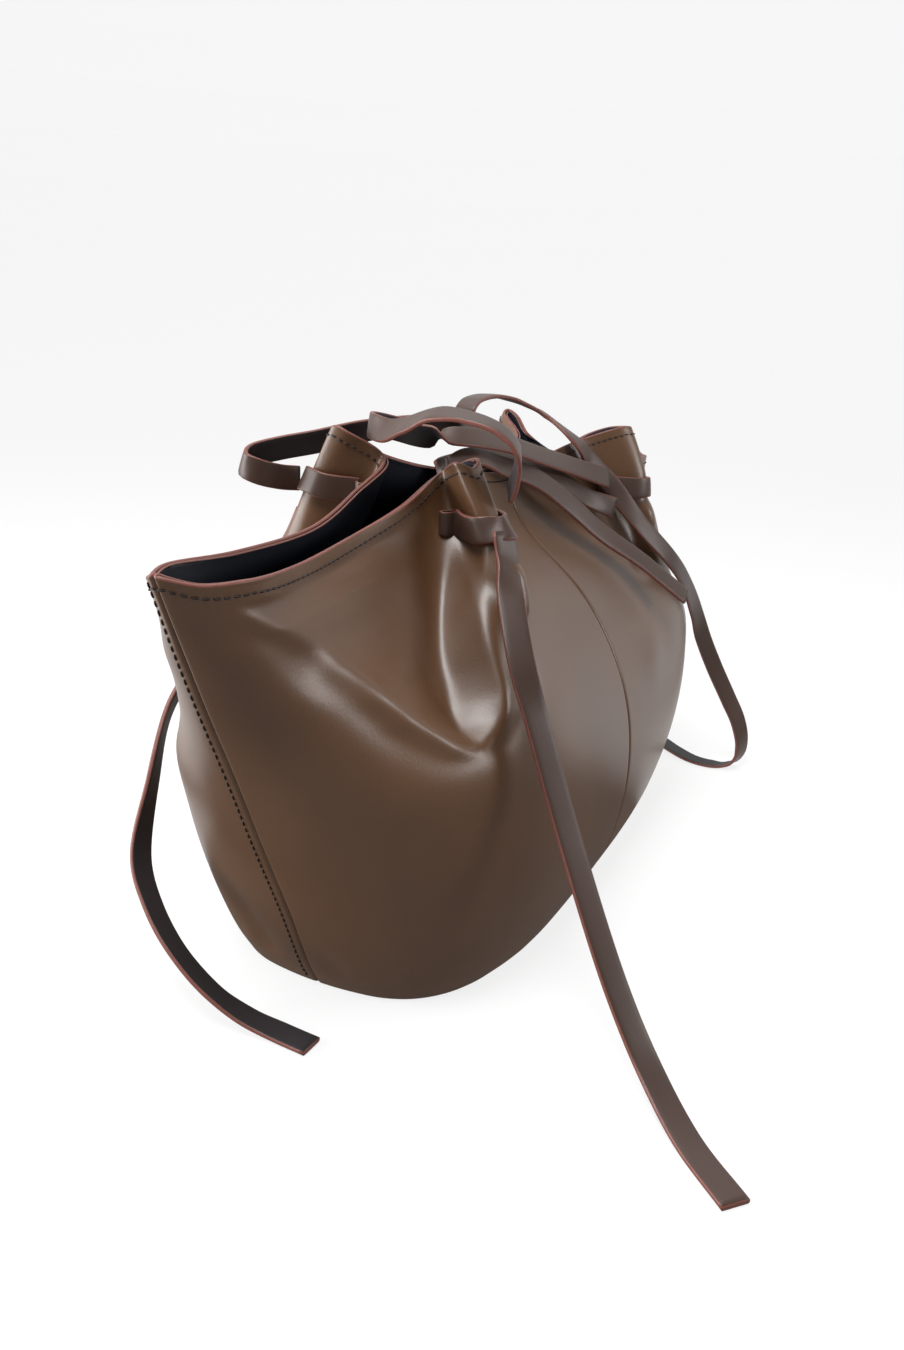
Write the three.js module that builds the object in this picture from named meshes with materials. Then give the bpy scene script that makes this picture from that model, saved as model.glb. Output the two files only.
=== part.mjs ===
// Bucket bag: four soft leather panels on an oval base, pinched into four fins at the rim.
// Two flat straps are hitched round the fins and give the two handles and the four loose tails.
// Millimetres, +Z up, -Y is the front of the bag, the base rests on z = 0.
import * as THREE from "three";

const group = new THREE.Group();
const V = (x, y, z) => new THREE.Vector3(x, y, z);

// ---------------------------------------------------------------- driving dimensions
const SKIN = 1.8; // panel leather
const GAP = 0.2; // half the gap left in a seam
const FACING_AT = -2.3, FACING_TO = -3.3; // faces of the rim facing, measured from the outer surface
const FACE_FROM = 6.4; // row of NET where the facing ends and the lining starts
const WRAP_IN = 0.5, WRAP_OUT = 2.7; // faces of the strap turn round a fin
// where on each fin that turn lies: rows and columns of NET
const WRAP_ROWS = { front_left: [6.73, 7, 7.24], front_right: [6.5, 6.75, 7], back_left: [6.95, 7.2, 7.45], back_right: [6.73, 7, 7.24] };
const WRAP_COLS = [6, 10];
// How each fin and rim leans away from the shared shape: column, row, reach in columns, reach in rows, then the shift.
const LEAN = {
  front_left: [[8.2, 8, 1, 1.3, -2, -1, -7], [6.6, 8, 0.8, 1.5, 3, 0, -2], [3.5, 7.6, 2.2, 1.6, 0, 1.5, -2]],
  front_right: [[8.3, 8, 1.3, 1.5, 4, 7, -1]],
  back_left: [[7.6, 8, 1.6, 2, -2, 0, 7]],
  back_right: [[8, 8, 1.5, 1.5, 0, 0, 5]],
};
const LEAN_FROM = 6.4; // no lean below this row
const WIDE = 12, THICK = 2.2; // strap
const BASE = { inset: 2.2, from: 0, to: 2 }, STIFFENER = { inset: 3.4, from: 2.3, to: 3.8 }, FLOOR = { inset: 4.2, from: 4.1, to: 4.8 };
const LINING_AT = -2.3, LINING_TO = -3.1, LINING_FOOT = 5.1;
const LEATHER = 0x4f3828, FACING = 0x3a2c28, LINING = 0x101a26, STRAP = 0x523d34, BOARD = 0x8a7a66;

// ---------------------------------------------------------------- body surface
// One quarter of the outer surface. Each row runs from the side seam to the centre seam;
// columns 6 to 10 are the fin: root, shoulder, outer fold, shoulder, root.
const NET = [
  [[175, 0, 0], [174, 17, 0], [171, 33, 0], [164.5, 46, 0], [154, 56.5, 0], [140.5, 64, 0], [125, 69, 0], [116, 71.3, 0], [105, 73.5, 0], [93, 75, 0], [79, 76.2, 0], [41, 77.5, 0], [0, 77.7, 0]],
  [[182, 0, 12], [181, 18, 12], [177.5, 34, 12], [171, 48, 12], [160, 59.5, 12], [146, 67.5, 12], [130, 73, 12], [120, 75.5, 12], [110, 77.5, 12], [97, 79.5, 12], [83, 80.7, 12], [43, 82.5, 12], [0, 83, 12]],
  [[197, 0, 48], [196, 18, 48], [192, 35, 47], [185, 50, 46], [173, 63, 46], [159, 73, 46], [141, 80, 46], [131, 83, 46], [120, 85.5, 46], [106, 87.5, 46], [92, 88.7, 46], [48, 90.3, 47], [0, 90.7, 48]],
  [[215, 0, 88], [213, 17, 87], [207, 34, 86], [198, 50, 85], [185, 63, 84], [170, 73.5, 84], [152, 81, 84], [142, 84.5, 84], [132, 87, 85], [118, 89.2, 85], [104, 90.2, 86], [55, 90.4, 88], [0, 89.5, 90]],
  [[231, 0, 125], [228, 15, 124], [221, 30, 122], [209, 46, 121], [194, 59, 120], [177, 69, 120], [158, 76.5, 121], [146, 80, 121], [134, 82.5, 122], [119, 83.8, 122], [103, 83.7, 123], [53, 80.5, 124], [0, 78.5, 125]],
  [[246, 0, 158], [241, 14, 156], [230, 26, 155], [211, 36, 154], [185, 42, 153], [160, 46, 154], [138, 52, 156], [131, 63, 157], [121, 70.5, 158], [108, 69.5, 159], [94, 63.5, 160], [52, 57.5, 160], [0, 57.5, 158]],
  [[256, 0, 181], [249, 14, 178], [236, 22, 177], [207, 23, 176], [170, 19, 177], [136, 23, 182], [109, 37, 187], [116, 51, 187], [113, 62, 187], [103, 60, 188], [87, 43, 191], [46, 26, 192], [0, 22.5, 190]],
  [[262.5, 0, 196], [254, 11.5, 194], [240, 18.5, 194], [208, 17.5, 193], [166, 14, 195], [125, 16.5, 202], [96.5, 24, 210], [108.3, 45.5, 209], [107, 52.5, 209], [100.3, 51.7, 209], [84, 29.5, 210], [43, 17, 208], [0, 13, 205]],
  [[268.5, 0, 210.5], [258.5, 11, 207.5], [242, 18.5, 208], [208, 14.5, 207.5], [164, 10, 210.5], [122, 14.5, 219.5], [92, 16.5, 231], [104.8, 30, 238.5], [105, 37, 240], [98, 37.3, 240], [80, 20.5, 231.5], [42, 12.5, 223.5], [0, 9, 219.5]],
];
const ROWS = NET.length, COLS = NET[0].length;

// Interpolating spline through four points with square-root knot spacing, so short spans don't overshoot.
function span(a, b, c, d, t) {
  const k0 = 0, k1 = k0 + Math.sqrt(Math.max(1e-6, a.distanceTo(b))), k2 = k1 + Math.sqrt(Math.max(1e-6, b.distanceTo(c))), k3 = k2 + Math.sqrt(Math.max(1e-6, c.distanceTo(d)));
  const s = k1 + (k2 - k1) * t;
  const mix = (p, q, i, j) => p.clone().multiplyScalar((j - s) / (j - i)).addScaledVector(q, (s - i) / (j - i));
  const a1 = mix(a, b, k0, k1), a2 = mix(b, c, k1, k2), a3 = mix(c, d, k2, k3);
  return mix(mix(a1, a2, k0, k2), mix(a2, a3, k1, k3), k1, k2);
}
function rowPoint(row, u) {
  const i = Math.min(COLS - 2, Math.max(0, Math.floor(u))), at = (k) => {
    if (k < 0) return V(row[-k][0], -row[-k][1], row[-k][2]); // mirrored past the side seam
    if (k > COLS - 1) { const m = row[2 * (COLS - 1) - k]; return V(-m[0], m[1], m[2]); } // and past the centre seam
    return V(...row[k]);
  };
  return span(at(i - 1), at(i), at(i + 1), at(i + 2), u - i);
}
function surface(u, v) {
  const j = Math.min(ROWS - 2, Math.max(0, Math.floor(v))), p = (k) => rowPoint(NET[k], u);
  const b = p(j), c = p(j + 1);
  const a = j > 0 ? p(j - 1) : b.clone().multiplyScalar(2).sub(c);
  const d = j + 2 < ROWS ? p(j + 2) : c.clone().multiplyScalar(2).sub(b);
  return span(a, b, c, d, v - j);
}
function normal(u, v) {
  const e = 0.04, un = Math.max(0, u - e), up = Math.min(COLS - 1, u + e), vn = Math.max(0, v - e), vp = Math.min(ROWS - 1, v + e);
  const du = surface(up, v).sub(surface(un, v)), dv = surface(u, vp).sub(surface(u, vn));
  if (u < e) du.setX(0).setZ(0);
  if (u > COLS - 1 - e) du.setY(0).setZ(0);
  return du.cross(dv).normalize();
}
// A point a distance OUT beyond the outer surface, negative for inside it.
const off = (u, v, out) => surface(u, v).addScaledVector(normal(u, v), out);

// ---------------------------------------------------------------- solids
function solid(points, faces, name, colour, roughness) {
  const g = new THREE.BufferGeometry();
  g.setAttribute("position", new THREE.Float32BufferAttribute(points.flatMap((p) => [p.x, p.y, p.z]), 3));
  g.setIndex(faces);
  g.computeVertexNormals();
  const m = new THREE.Mesh(g, new THREE.MeshStandardMaterial({ color: colour, roughness, metalness: 0 }));
  m.name = name;
  group.add(m);
  return m;
}
// A closed slab between two grids of points, outer[i][j] and inner[i][j]; flip reverses its facing.
function slab(outer, inner, flip, name, colour, roughness) {
  const nu = outer.length - 1, nv = outer[0].length - 1, pts = [...outer.flat(), ...inner.flat()], f = [];
  const o = (i, j) => i * (nv + 1) + j, n = (i, j) => (nu + 1) * (nv + 1) + i * (nv + 1) + j;
  const quad = (a, b, c, d) => (flip ? f.push(a, c, b, a, d, c) : f.push(a, b, c, a, c, d));
  for (let i = 0; i < nu; i++)
    for (let j = 0; j < nv; j++) {
      quad(o(i, j), o(i + 1, j), o(i + 1, j + 1), o(i, j + 1));
      quad(n(i, j), n(i, j + 1), n(i + 1, j + 1), n(i + 1, j));
    }
  for (let i = 0; i < nu; i++) {
    quad(n(i, 0), n(i + 1, 0), o(i + 1, 0), o(i, 0));
    quad(o(i, nv), o(i + 1, nv), n(i + 1, nv), n(i, nv));
  }
  for (let j = 0; j < nv; j++) {
    quad(n(0, j), o(0, j), o(0, j + 1), n(0, j + 1));
    quad(o(nu, j), n(nu, j), n(nu, j + 1), o(nu, j + 1));
  }
  return solid(pts, f, name, colour, roughness);
}
function lean(side, u, v) {
  const t = Math.min(1, Math.max(0, (v - LEAN_FROM) / 0.8)), fade = t * t * (3 - 2 * t) * Math.min(1, u) * Math.min(1, COLS - 1 - u), d = V(0, 0, 0);
  for (const [cu, cv, ru, rv, x, y, z] of LEAN[side]) d.addScaledVector(V(x, y, z), fade * Math.exp(-(((u - cu) / ru) ** 2)) * Math.exp(-(((v - cv) / rv) ** 2)));
  return d;
}
const steps = (stops, parts) => stops.slice(1).flatMap((b, i) => Array.from({ length: parts[i] }, (_, k) => stops[i] + ((b - stops[i]) * (k + 1)) / parts[i])).reduce((a, x) => (a.push(x), a), [stops[0]]);
const QUARTERS = [["front_left", -1, -1], ["front_right", 1, -1], ["back_left", -1, 1], ["back_right", 1, 1]];
const place = (p, sx, sy) => V(sx * Math.max(p.x, GAP), sy * Math.max(p.y, GAP), p.z);

const US = steps([0, 1, 2, 3, 4, 5, 6, 7, 8, 9, 10, 11, 12], [1, 1, 1, 1, 2, 2, 2, 2, 2, 2, 1, 1]);

for (const [side, sx, sy] of QUARTERS) {
  const grid = (d, vs, us = US) => us.map((u) => vs.map((v) => place(off(u, v, d).add(lean(side, u, v)), sx, sy)));
  const VS = [0, 1, 2, 3, 4, 5, 5.5, 6, FACE_FROM, ...WRAP_ROWS[side], 8];
  const flat = (g) => { for (const c of g) c[0].z = 0; return g; };
  slab(flat(grid(0, VS)), flat(grid(-SKIN, VS)), sx * sy < 0, "panel_" + side, LEATHER, 0.42);
  // leather facing sewn inside the rim
  const fv = [FACE_FROM + 0.04, ...WRAP_ROWS[side], 8];
  slab(grid(FACING_AT, fv), grid(FACING_TO, fv), sx * sy < 0, "facing_" + side, FACING, 0.5);
  // the turn of strap that closes the fin, just off the leather
  const wu = US.filter((u) => u >= WRAP_COLS[0] && u <= WRAP_COLS[1]), wv = WRAP_ROWS[side];
  slab(grid(WRAP_OUT, wv, wu), grid(WRAP_IN, wv, wu), sx * sy < 0, "wrap_" + side, STRAP, 0.5);
}

// ---------------------------------------------------------------- base
function plate(inset, z0, z1, name, colour) {
  const ring = [];
  const us = steps([0, 1, 2, 3, 4, 5, 6, 8, 10, 12], [1, 1, 1, 1, 1, 1, 1, 1, 1]);
  const q = us.map((u) => { const n = normal(u, 0).setZ(0).normalize(); return surface(u, 0).addScaledVector(n, -inset); });
  q.forEach((p) => ring.push([p.x, p.y]));
  q.slice(0, -1).reverse().forEach((p) => ring.push([-p.x, p.y]));
  q.slice(1).forEach((p) => ring.push([-p.x, -p.y]));
  q.slice(1, -1).reverse().forEach((p) => ring.push([p.x, -p.y]));
  const g = new THREE.ExtrudeGeometry(new THREE.Shape(ring.map(([x, y]) => new THREE.Vector2(x, y))), { depth: z1 - z0, bevelEnabled: false });
  g.translate(0, 0, z0);
  const m = new THREE.Mesh(g, new THREE.MeshStandardMaterial({ color: colour, roughness: 0.5, metalness: 0 }));
  m.name = name;
  group.add(m);
}
plate(BASE.inset, BASE.from, BASE.to, "base_panel", LEATHER);
plate(STIFFENER.inset, STIFFENER.from, STIFFENER.to, "base_board", BOARD);
plate(FLOOR.inset, FLOOR.from, FLOOR.to, "lining_floor", LINING);

// ---------------------------------------------------------------- lining wall, one sleeve all round
{
  const us = US;
  const vs = [0.44, 1, 2, 3, 4, 5, 5.5, 6, FACE_FROM - 0.02];
  const at = (u, v, d) => off(u, v, d);
  const loop = [];
  us.forEach((u) => loop.push([u, 1, 1]));
  us.slice(0, -1).reverse().forEach((u) => loop.push([u, -1, 1]));
  us.slice(1).forEach((u) => loop.push([u, -1, -1]));
  us.slice(1, -1).reverse().forEach((u) => loop.push([u, 1, -1]));
  const put = (d) => loop.map(([u, sx, sy]) => vs.map((v, j) => { const p = at(u, v, d); if (!j) p.z = LINING_FOOT; return V(sx * Math.max(0, p.x), sy * Math.max(0, p.y), p.z); }));
  const O = put(LINING_AT), I = put(LINING_TO), n = loop.length, m = vs.length, pts = [...O.flat(), ...I.flat()], f = [];
  const o = (i, j) => (i % n) * m + j, k = (i, j) => n * m + (i % n) * m + j, quad = (a, b, c, d, turn) => (turn ? f.push(a, b, d, b, c, d) : f.push(a, b, c, a, c, d));
  for (let i = 0; i < n; i++) {
    const turn = Math.floor(i / (us.length - 1)) % 2 === 1; // same diagonals as the mirrored panel
    for (let j = 0; j < m - 1; j++) {
      quad(o(i, j), o(i + 1, j), o(i + 1, j + 1), o(i, j + 1), turn);
      quad(k(i, j), k(i, j + 1), k(i + 1, j + 1), k(i + 1, j), turn);
    }
    quad(k(i, 0), k(i + 1, 0), o(i + 1, 0), o(i, 0));
    quad(o(i, m - 1), o(i + 1, m - 1), k(i + 1, m - 1), k(i, m - 1));
  }
  solid(pts, f, "lining_wall", LINING, 0.9);
}

// ---------------------------------------------------------------- straps
// A flat strap through control points [x, y, z, nx, ny, nz]; (nx, ny, nz) is the outward face there.
function strap(name, ctrl, rings) {
  const P = ctrl.map((c) => V(c[0], c[1], c[2])), N = ctrl.map((c) => V(c[3], c[4], c[5]).normalize());
  const at = (arr, t) => {
    const i = Math.min(arr.length - 2, Math.floor(t)), a = arr[i], b = arr[i + 1];
    return span(i ? arr[i - 1] : a.clone().multiplyScalar(2).sub(b), a, b, i + 2 < arr.length ? arr[i + 2] : b.clone().multiplyScalar(2).sub(a), t - i);
  };
  const mixN = (t) => { const i = Math.min(N.length - 2, Math.floor(t)), s = t - i, w = s * s * (3 - 2 * s); return N[i].clone().multiplyScalar(1 - w).addScaledVector(N[i + 1], w).normalize(); };
  // rings evenly spaced along the strap
  const fine = 400, ts = [], ls = [0];
  for (let i = 0; i <= fine; i++) ts.push(((P.length - 1) * i) / fine);
  for (let i = 1; i <= fine; i++) ls.push(ls[i - 1] + at(P, ts[i]).distanceTo(at(P, ts[i - 1])));
  const pts = [], f = [];
  for (let r = 0; r <= rings; r++) {
    const L = (ls[fine] * r) / rings;
    let k = 1;
    while (k < fine && ls[k] < L) k++;
    const t = ts[k - 1] + ((ts[k] - ts[k - 1]) * (L - ls[k - 1])) / Math.max(1e-9, ls[k] - ls[k - 1]);
    const c = at(P, t), e = 0.02, tan = at(P, Math.min(P.length - 1, t + e)).sub(at(P, Math.max(0, t - e))).normalize();
    const n = mixN(t), nn = n.addScaledVector(tan, -n.dot(tan)).normalize(), w = tan.clone().cross(nn);
    for (const [a, b] of [[1, 1], [-1, 1], [-1, -1], [1, -1]]) pts.push(c.clone().addScaledVector(w, (a * WIDE) / 2).addScaledVector(nn, (b * THICK) / 2));
  }
  for (let r = 0; r < rings; r++)
    for (let q = 0; q < 4; q++) {
      const a = r * 4 + q, b = r * 4 + ((q + 1) % 4), c = a + 4, d = b + 4;
      f.push(a, c, b, b, c, d);
    }
  const z = rings * 4;
  f.push(0, 1, 2, 0, 2, 3, z, z + 2, z + 1, z, z + 3, z + 2);
  solid(pts, f, name, STRAP, 0.5);
  return ls[fine];
}
export const LENGTHS = {};
const S = (name, ctrl, rings) => (LENGTHS[name] = strap(name, ctrl, rings));

// front handle: rises from the front-left fin, arches back over the mouth, doubles back behind the rim, runs to the front-right fin
S("handle_front", [
  [-94, -51, 223, 0.42, -0.9, 0.1], [-100, -56, 231, 0.42, -0.9, 0.15], [-107, -59, 243, 0.25, -0.95, 0.3], [-110, -52, 251, 0, -0.75, 0.65], [-112, -38, 255.5, -0.2, -0.3, 0.9],
  [-112, -22, 256, -0.4, 0.05, 0.88], [-107, -6, 250.5, -0.55, 0.35, 0.75], [-98, 10, 246, -0.6, 0.6, 0.5], [-88, 24.5, 247, -0.55, 0.8, 0.15], [-75, 30, 246.5, 0.3, 0.95, 0.05],
  [-64, 24, 244, 0.95, 0.3, 0.05], [-60, 11, 241, 0.9, -0.45, 0.1], [-48, -3, 241, 0.1, -0.8, 0.6], [-20, -13, 237, -0.25, -0.75, 0.65], [15, -22, 228, -0.3, -0.75, 0.6],
  [50, -31, 219, -0.35, -0.75, 0.55], [77, -42, 211, -0.45, -0.8, 0.4],
], 54);
// back handle: loops out round the back-left fin and runs along the back of the mouth to the back-right fin
S("handle_back", [
  [-97, 60, 220, -0.6, -0.3, 0.1], [-108, 63, 221.5, -0.5, -0.75, 0.12], [-120, 68, 225, -0.95, -0.3, 0.1], [-121, 75, 228, -0.9, 0.4, 0.1], [-110, 77, 231, 0.2, 0.95, 0.2],
  [-98, 69, 234, 0.5, 0.85, 0.2], [-85, 57, 237, 0.6, 0.78, 0.2], [-70, 45, 241, 0.5, 0.82, 0.3], [-52, 36, 243, 0.3, 0.85, 0.4], [-25, 29.5, 243, 0.15, 0.9, 0.4],
  [5, 27.5, 240, 0, 0.9, 0.4], [35, 30, 234, -0.2, 0.9, 0.35], [62, 37, 226, -0.4, 0.85, 0.3], [83, 52, 217, -0.7, 0.7, 0.1],
], 46);
// loose tails
S("tail_front_left", [
  [-112, -59, 196, -0.5, -0.85, 0.1], [-125, -67, 182, -0.8, -0.6, 0.2], [-139, -79, 160, -0.75, -0.62, 0.2], [-144, -89.5, 137, -0.5, -0.8, 0.25], [-151, -110, 90, -0.45, -0.75, 0.45],
  [-162.5, -137.5, 37, -0.4, -0.6, 0.65], [-173.5, -156.5, 13, -0.3, -0.4, 0.9], [-193.5, -178.5, 1.6, -0.05, -0.1, 1], [-215.5, -201.5, 1.3, 0, 0, 1],
], 30);
S("tail_back_left", [
  [-97, 56.5, 206, 0.1, 0.97, 0.2], [-98.5, 63.5, 192, 0, 0.95, 0.3], [-105, 69.5, 178, -0.15, 0.92, 0.35], [-117, 75, 164, -0.3, 0.88, 0.35], [-134, 80, 150, -0.35, 0.87, 0.35],
  [-152, 84, 134, -0.35, 0.87, 0.3], [-171, 84, 118, -0.3, 0.9, 0.3], [-192, 77, 92, -0.1, 0.9, 0.3], [-207, 73, 60, 0.1, 0.95, 0], [-214, 61, 43, -0.2, 0.7, -0.6],
  [-219, 44, 28, -0.3, 0.5, -0.8], [-220, 24, 14, -0.25, 0.3, -0.9], [-217.5, 8, 5.5, -0.1, 0.2, -0.95], [-215.5, -8, 1.8, 0, 0.05, -1], [-216, -24, 1.3, 0, 0, -1],
], 38);
S("tail_front_right", [
  [75, -48, 194, -0.6, -0.75, 0.1], [60, -35.5, 201, -0.35, -0.8, 0.4], [38, -26, 213, -0.3, -0.75, 0.55], [8, -14, 223, -0.3, -0.75, 0.6], [-18, -6, 228, -0.2, -0.75, 0.6],
  [-38, 4, 225.5, 0.1, -0.85, 0.35], [-50, 5, 224.5, -0.6, -0.6, 0.2], [-54, -1, 225.5, -0.9, -0.5, 0.3], [-44, -8, 231, 0.1, -0.66, 0.76], [-15, -14, 224, -0.2, -0.8, 0.5], [8, -24, 216, -0.3, -0.8, 0.45],
  [30, -37, 200, -0.35, -0.8, 0.4], [45, -51, 184, -0.35, -0.75, 0.5], [63, -71, 167, -0.3, -0.7, 0.6], [80, -95, 145, -0.3, -0.65, 0.65],
], 42);
S("tail_back_right", [
  [97, 58.5, 204, -0.2, 0.9, -0.4], [84, 57, 207, -0.1, 0.6, -0.8], [70, 47, 209, 0, 0.1, -1], [57, 36, 212, -0.1, 0.1, -0.98], [41, 24.5, 221, -0.4, 0.1, -0.9],
  [24, 18.5, 234, -0.7, 0, -0.7], [5, 17, 244, -0.85, 0, -0.5], [-3, 16, 250, -0.98, 0, 0.1], [3, 16, 254.5, -0.6, 0, 0.8], [14, 16, 256.5, -0.15, 0, 1],
  [29, 15, 257, 0, 0, 1], [48, 12, 255, 0.2, -0.1, 0.95], [60, 4, 250.5, 0.3, -0.35, 0.85], [68, -5, 244.5, 0.2, -0.6, 0.7], [67, -24, 232, 0, -0.75, 0.6],
  [76, -32, 219, -0.5, -0.75, 0.4], [84, -43, 205, -0.75, -0.6, 0.2], [91, -62, 182, -0.45, -0.8, 0.35], [104, -77, 163, -0.3, -0.85, 0.3], [122, -83, 147, -0.25, -0.9, 0.25],
  [150, -87, 120, -0.35, -0.9, 0.05], [163, -91, 99, -0.55, -0.8, -0.1], [175, -99, 75, -0.6, -0.75, -0.1], [182, -109.7, 52, -0.6, -0.75, -0.05], [185, -118, 35, -0.55, -0.8, -0.1],
  [187, -122, 18, -0.45, -0.85, -0.25], [186, -120.5, 7.5, -0.35, -0.7, -0.65], [183, -114, 2.2, -0.15, -0.3, -0.95], [180, -103, 1.3, 0, 0, -1], [182, -90, 1.3, 0, 0, -1],
  [193, -74, 1.3, 0, 0, -1], [206, -60, 1.3, 0, 0, -1],
], 72);

export default group;
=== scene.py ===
# Bucket bag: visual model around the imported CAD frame. Millimetres inside, metres in the scene.
import math

import bmesh
import bpy
import numpy as np
from mathutils import Matrix, Vector


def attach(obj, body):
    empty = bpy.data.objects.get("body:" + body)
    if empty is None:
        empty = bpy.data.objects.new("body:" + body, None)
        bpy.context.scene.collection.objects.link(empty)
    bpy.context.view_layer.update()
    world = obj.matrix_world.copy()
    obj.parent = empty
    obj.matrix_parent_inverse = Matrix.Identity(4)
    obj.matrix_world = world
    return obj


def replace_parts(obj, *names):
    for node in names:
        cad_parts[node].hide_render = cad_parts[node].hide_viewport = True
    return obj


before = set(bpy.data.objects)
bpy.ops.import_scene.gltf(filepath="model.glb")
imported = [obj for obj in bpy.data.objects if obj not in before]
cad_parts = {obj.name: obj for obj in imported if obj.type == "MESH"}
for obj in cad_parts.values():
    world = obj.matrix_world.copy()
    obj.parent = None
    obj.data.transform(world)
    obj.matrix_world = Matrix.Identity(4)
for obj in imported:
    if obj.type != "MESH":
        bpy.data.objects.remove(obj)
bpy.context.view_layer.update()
scene = bpy.context.scene
MM = 0.001

# ------------------------------------------------------------------ camera
CAMERA_AT = (-0.51733, -0.22869, 0.28800)
PAN, TILT, ROLL = 0.4478, -0.3195, 0.034  # radians
SENSOR, LENS = 36, 27.24  # mm


def make_camera():
    pan, tilt, roll = PAN, TILT, ROLL
    f = Vector((math.cos(tilt) * math.cos(pan), math.cos(tilt) * math.sin(pan), math.sin(tilt)))
    r = f.cross(Vector((0, 0, 1))).normalized()
    u = r.cross(f)
    rr = r * math.cos(roll) + u * math.sin(roll)
    uu = u * math.cos(roll) - r * math.sin(roll)
    cam = bpy.data.objects.new("camera", bpy.data.cameras.new("camera"))
    cam.data.sensor_width = SENSOR
    cam.data.lens = LENS
    cam.data.clip_start = 0.01
    m = Matrix((rr, uu, -f)).transposed().to_4x4()
    m.translation = Vector(CAMERA_AT)
    cam.matrix_world = m
    scene.collection.objects.link(cam)
    scene.camera = cam


make_camera()

# ------------------------------------------------------------------ body surface, one quarter, as in the CAD
# rows from the base to the rim, each from the side seam (x axis) to the centre seam (y axis)
NET = np.array([
    [[175, 0, 0], [174, 17, 0], [171, 33, 0], [164.5, 46, 0], [154, 56.5, 0],
     [140.5, 64, 0], [125, 69, 0], [116, 71.3, 0], [105, 73.5, 0], [93, 75, 0],
     [79, 76.2, 0], [41, 77.5, 0], [0, 77.7, 0]],
    [[182, 0, 12], [181, 18, 12], [177.5, 34, 12], [171, 48, 12], [160, 59.5, 12],
     [146, 67.5, 12], [130, 73, 12], [120, 75.5, 12], [110, 77.5, 12], [97, 79.5, 12],
     [83, 80.7, 12], [43, 82.5, 12], [0, 83, 12]],
    [[197, 0, 48], [196, 18, 48], [192, 35, 47], [185, 50, 46], [173, 63, 46],
     [159, 73, 46], [141, 80, 46], [131, 83, 46], [120, 85.5, 46], [106, 87.5, 46],
     [92, 88.7, 46], [48, 90.3, 47], [0, 90.7, 48]],
    [[215, 0, 88], [213, 17, 87], [207, 34, 86], [198, 50, 85], [185, 63, 84],
     [170, 73.5, 84], [152, 81, 84], [142, 84.5, 84], [132, 87, 85], [118, 89.2, 85],
     [104, 90.2, 86], [55, 90.4, 88], [0, 89.5, 90]],
    [[231, 0, 125], [228, 15, 124], [221, 30, 122], [209, 46, 121], [194, 59, 120],
     [177, 69, 120], [158, 76.5, 121], [146, 80, 121], [134, 82.5, 122], [119, 83.8, 122],
     [103, 83.7, 123], [53, 80.5, 124], [0, 78.5, 125]],
    [[246, 0, 158], [241, 14, 156], [230, 26, 155], [211, 36, 154], [185, 42, 153],
     [160, 46, 154], [138, 52, 156], [131, 63, 157], [121, 70.5, 158], [108, 69.5, 159],
     [94, 63.5, 160], [52, 57.5, 160], [0, 57.5, 158]],
    [[256, 0, 181], [249, 14, 178], [236, 22, 177], [207, 23, 176], [170, 19, 177],
     [136, 23, 182], [109, 37, 187], [116, 51, 187], [113, 62, 187], [103, 60, 188],
     [87, 43, 191], [46, 26, 192], [0, 22.5, 190]],
    [[262.5, 0, 196], [254, 11.5, 194], [240, 18.5, 194], [208, 17.5, 193], [166, 14, 195],
     [125, 16.5, 202], [96.5, 24, 210], [108.3, 45.5, 209], [107, 52.5, 209], [100.3, 51.7, 209],
     [84, 29.5, 210], [43, 17, 208], [0, 13, 205]],
    [[268.5, 0, 210.5], [258.5, 11, 207.5], [242, 18.5, 208], [208, 14.5, 207.5], [164, 10, 210.5],
     [122, 14.5, 219.5], [92, 16.5, 231], [104.8, 30, 238.5], [105, 37, 240], [98, 37.3, 240],
     [80, 20.5, 231.5], [42, 12.5, 223.5], [0, 9, 219.5]],
], float)
NR, NC = NET.shape[:2]


def span(a, b, c, d, t):
    g = lambda p, q: np.sqrt(np.maximum(1e-6, np.linalg.norm(q - p, axis=-1, keepdims=True)))
    k1 = g(a, b)
    k2 = k1 + g(b, c)
    k3 = k2 + g(c, d)
    s = k1 + (k2 - k1) * t
    mix = lambda p, q, i, j: p * ((j - s) / (j - i)) + q * ((s - i) / (j - i))
    a1, a2, a3 = mix(a, b, 0 * k1, k1), mix(b, c, k1, k2), mix(c, d, k2, k3)
    return mix(mix(a1, a2, 0 * k1, k2), mix(a2, a3, k1, k3), k1, k2)


def surface(U, V):
    U, V = np.asarray(U, float), np.asarray(V, float)
    rows = []
    for row in NET:
        ext = np.vstack([row[1] * [1, -1, 1], row, row[-2] * [-1, 1, 1]])
        i = np.clip(np.floor(U).astype(int), 0, NC - 2)
        rows.append(span(ext[i], ext[i + 1], ext[i + 2], ext[i + 3], (U - i)[:, None]))
    rows = np.array(rows)
    rows = np.concatenate([2 * rows[:1] - rows[1:2], rows, 2 * rows[-1:] - rows[-2:-1]])
    j = np.clip(np.floor(V).astype(int), 0, NR - 2)
    g = span(rows[j], rows[j + 1], rows[j + 2], rows[j + 3], (V - j)[:, None, None])
    return np.swapaxes(g, 0, 1)  # [u, v, xyz]


def normals(G):
    P = np.concatenate([G[1:2] * [1, -1, 1], G, G[-2:-1] * [-1, 1, 1]], 0)  # mirrored past the seams
    du = P[2:] - P[:-2]
    dv = np.gradient(G, axis=1)
    n = np.cross(du, dv)
    return n / np.maximum(1e-9, np.linalg.norm(n, axis=-1, keepdims=True))


def spaced(stops, counts):
    out = [stops[0]]
    for a, b, n in zip(stops, stops[1:], counts):
        out += list(a + (b - a) * (np.arange(n) + 1) / n)
    return np.array(out)


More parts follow.
